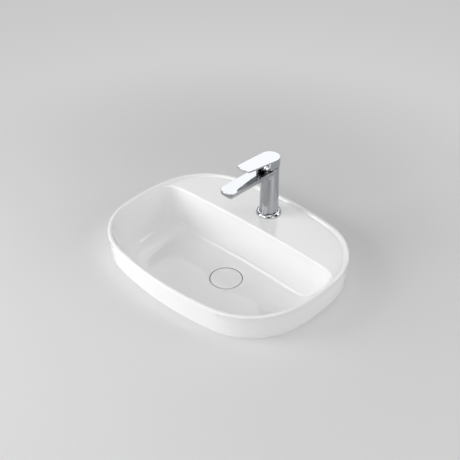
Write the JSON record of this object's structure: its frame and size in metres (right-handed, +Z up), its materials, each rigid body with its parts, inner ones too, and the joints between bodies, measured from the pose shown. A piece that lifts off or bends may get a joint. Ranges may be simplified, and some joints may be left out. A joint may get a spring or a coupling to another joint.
{
  "type": "inset wash basin",
  "caption": "Inset ceramic wash basin with a raised rim and tap landing, a lever mixer tap and a push-to-open waste under a ceramic cap.",
  "frame": {"origin": "on the benchtop plane, on the axis of the waste", "axes": "+X along the basin's length, to the right for someone standing at its front; -Y towards the front; +Z up, out of the bowl"},
  "size_m": [0.5298, 0.4094, 0.3384],
  "materials": {
    "ceramic": "gloss",
    "chrome": "polished",
    "brass": "machined",
    "steel": "plain",
    "rubber": "matt",
    "plastic": "matt",
    "oxide": "lapped",
    "indicator": "gloss"
  },
  "bodies": {
    "basin_and_tap": {"basin": "ceramic", "click_barrel": "brass", "click_spring": "steel", "waste_body": "brass", "waste_flange_gasket": "rubber", "waste_lower_gasket": "rubber", "waste_slip_washer": "plastic", "waste_back_nut": "brass", "tap_base_gasket": "rubber", "tap_base_ring": "chrome", "tap_body": "chrome", "aerator_housing": "chrome", "aerator_insert": "plastic", "aerator_seal": "rubber", "cartridge_port_seals": "rubber", "cartridge_foot": "plastic", "cartridge_fixed_disc": "oxide", "cartridge_housing": "plastic", "cartridge_nut": "brass", "cartridge_dome": "chrome", "tap_stud": "brass", "tap_rubber_washer": "rubber", "tap_clamp_plate": "steel", "tap_fixing_nut": "brass"},
    "plug": {"plug_cap": "ceramic", "plug_carrier": "brass", "plug_seal": "rubber", "plug_plunger": "brass"},
    "cartridge_hub": {"cartridge_carrier": "plastic", "cartridge_pin": "steel"},
    "lever": {"lever": "chrome", "cartridge_stem": "brass", "lever_grub_screw": "steel", "lever_indicator": "indicator"},
    "moving_disc": {"cartridge_coupler": "plastic", "cartridge_moving_disc": "oxide"}
  },
  "joints": [
    {"name": "plug_lift", "type": "slide", "parent": "basin_and_tap", "child": "plug", "axis": [0, 0, 1], "range_m": [0, 0.01], "deforming": ["click_spring"]},
    {"name": "lever_turn", "type": "hinge", "parent": "basin_and_tap", "child": "cartridge_hub", "pos_m": [0, 0.14, 0.17], "axis": [0, 0, 1], "range_deg": [-45, 45]},
    {"name": "lever_lift", "type": "hinge", "parent": "cartridge_hub", "child": "lever", "pos_m": [0, 0.14, 0.17], "axis": [-1, 0, 0], "range_deg": [0, 25]},
    {"name": "disc_slide", "type": "slide", "parent": "cartridge_hub", "child": "moving_disc", "axis": [0, -1, 0], "range_m": [0, 0.0057]}
  ],
  "couplings": [
    {"joint": "disc_slide", "follows": "lever_lift", "m_per_rad": 0.0129}
  ]
}
